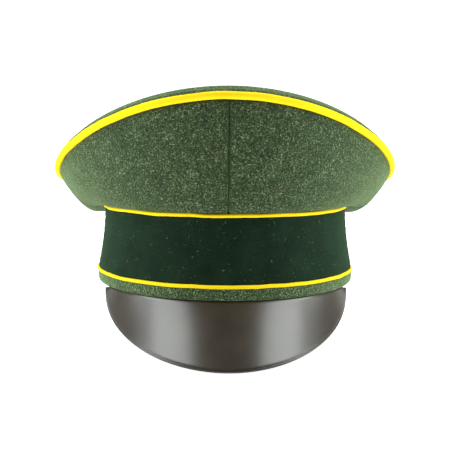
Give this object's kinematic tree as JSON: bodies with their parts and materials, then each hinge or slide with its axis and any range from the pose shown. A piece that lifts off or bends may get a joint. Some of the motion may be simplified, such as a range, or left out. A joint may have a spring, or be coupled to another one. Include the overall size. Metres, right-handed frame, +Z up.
{
  "type": "military peaked cap",
  "caption": "Peaked uniform cap with a raised, saddle-shaped cloth crown, contrasting piping, a dark felt band and a glossy black visor.",
  "frame": {"origin": "bottom centre of the bounding box, on the table that the cap rests on with the tip of its visor and the back of its hem", "axes": "+X to the wearer's left, +Y to the wearer's back, +Z up; the head band is tipped back by 8.76 degrees from level, front up"},
  "size_m": [0.2406, 0.302, 0.1568],
  "materials": {
    "crown_wool": "felted wool cloth, grey-green melange, matt",
    "piping_felt": "smooth bright yellow felt",
    "band_felt": "dense dark green badge felt",
    "visor_fibre": "black lacquered vulcanised fibre, satin gloss",
    "visor_lining_cloth": "waxed dark green cloth",
    "spring_steel": "oiled spring steel",
    "sleeve_paper": "kraft paper tube",
    "fibre_board": "calendered fibre board",
    "horsehair_canvas": "open plain-weave canvas",
    "cotton_tape": "black herringbone cotton",
    "sweatband_leather": "smooth tan calf leather",
    "pad_foam": "grey felted padding",
    "lining_satin": "golden brown rayon satin",
    "celluloid": "clear celluloid, slightly yellowed",
    "label_cotton": "plain woven cotton, blank"
  },
  "bodies": {
    "root": {"crown_top_panel": "crown_wool", "crown_front_left_panel": "crown_wool", "crown_front_right_panel": "crown_wool", "crown_rear_left_panel": "crown_wool", "crown_rear_right_panel": "crown_wool", "crown_piping": "piping_felt", "crown_wire": "spring_steel", "crown_wire_sleeve": "sleeve_paper", "crown_canvas": "horsehair_canvas", "crown_front_stay": "spring_steel", "crown_front_seam_tape": "cotton_tape", "crown_rear_seam_tape": "cotton_tape", "crown_left_seam_tape": "cotton_tape", "crown_right_seam_tape": "cotton_tape", "band_cloth": "band_felt", "band_upper_piping": "piping_felt", "band_lower_piping": "piping_felt", "band_hem_strip": "crown_wool", "band_stiffener": "fibre_board", "visor_shell": "visor_fibre", "visor_edge_bead": "visor_fibre", "visor_lining": "visor_lining_cloth", "sweatband": "sweatband_leather", "sweatband_reed": "sweatband_leather", "sweatband_bow": "cotton_tape", "forehead_pad": "pad_foam", "lining_top": "lining_satin", "lining_side": "lining_satin", "sweat_shield": "celluloid", "sweat_shield_cord": "cotton_tape", "size_label": "label_cotton"}
  },
  "joints": []
}
